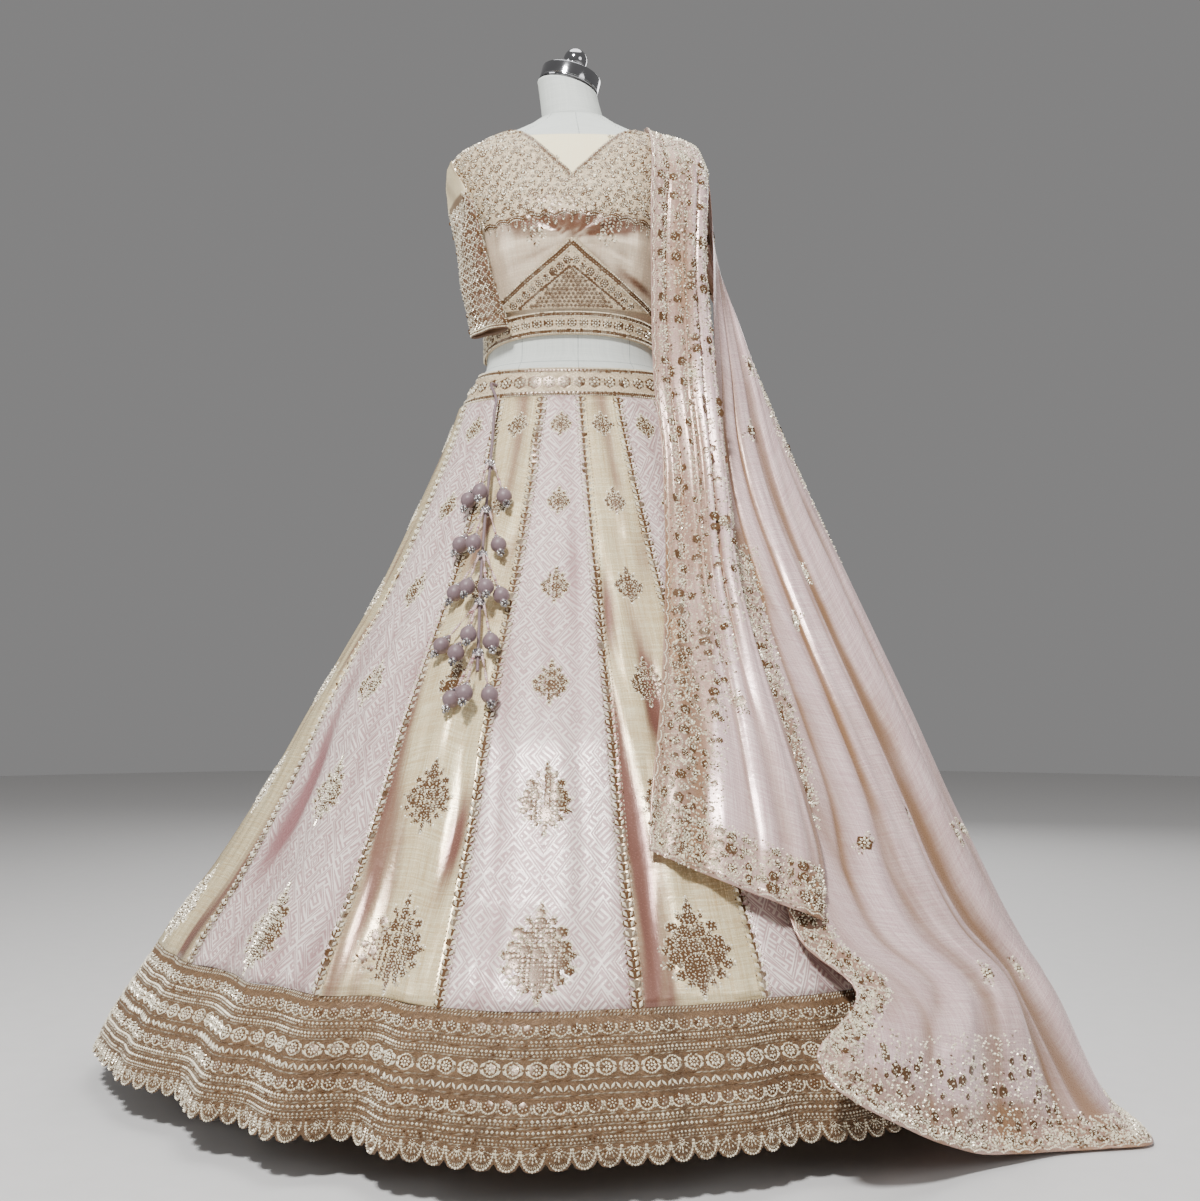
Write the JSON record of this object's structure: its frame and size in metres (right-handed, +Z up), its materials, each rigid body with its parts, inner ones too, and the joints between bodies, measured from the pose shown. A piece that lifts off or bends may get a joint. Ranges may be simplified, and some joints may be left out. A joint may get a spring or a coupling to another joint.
{
  "type": "lehenga choli on a limbless dress form",
  "caption": "Flared embroidered skirt, short blouse and long draped scarf on a limbless dress form with a round floor base.",
  "frame": {"origin": "centre of the underside of the stand's base, on the floor", "axes": "+Z up, -Y is the garment's front, +X is the viewer's right as they face the front"},
  "size_m": [1.3224, 1.2972, 1.4904],
  "materials": {
    "linen": "matt linen cover over the padded form",
    "chrome": "polished",
    "rubber": "matt black gasket",
    "satin": "satin in pale gold with a soft sheen",
    "embroidered_satin": "satin worked all over in dull gold thread, beads and sequins",
    "brocade": "pale pink brocade with a small woven maze",
    "tissue": "cream-gold tissue shot with mauve, with a satin sheen",
    "tie_cloth": "mauve-pink cloth-covered balls and cord with silver bead caps",
    "dupatta_tissue": "pink tissue shot with gold, with a gold embroidered border"
  },
  "bodies": {
    "root": {"stand_base": "chrome", "stand_pole": "chrome", "form_torso": "linen", "form_neck": "linen", "form_gasket": "rubber", "form_cap": "chrome", "form_knob": "chrome", "choli_front": "embroidered_satin", "choli_back": "satin", "choli_neck_cloth": "satin", "choli_midriff_panel": "embroidered_satin", "choli_hem_band": "embroidered_satin", "choli_sleeve_left": "embroidered_satin", "choli_sleeve_right": "embroidered_satin", "lehenga_waistband": "embroidered_satin", "lehenga_panel_01": "brocade", "lehenga_panel_02": "tissue", "lehenga_panel_03": "brocade", "lehenga_panel_04": "tissue", "lehenga_panel_05": "brocade", "lehenga_panel_06": "tissue", "lehenga_panel_07": "brocade", "lehenga_panel_08": "tissue", "lehenga_panel_09": "brocade", "lehenga_panel_10": "tissue", "lehenga_panel_11": "brocade", "lehenga_panel_12": "tissue", "lehenga_panel_13": "brocade", "lehenga_panel_14": "tissue", "lehenga_hem_border": "embroidered_satin", "tie_cord": "tie_cloth", "tie_tier_1": "tie_cloth", "tie_tier_2": "tie_cloth", "tie_tier_3": "tie_cloth", "tie_tier_4": "tie_cloth", "tie_tier_5": "tie_cloth", "dupatta_front_fall": "dupatta_tissue", "dupatta_side_fall": "dupatta_tissue"}
  },
  "joints": []
}
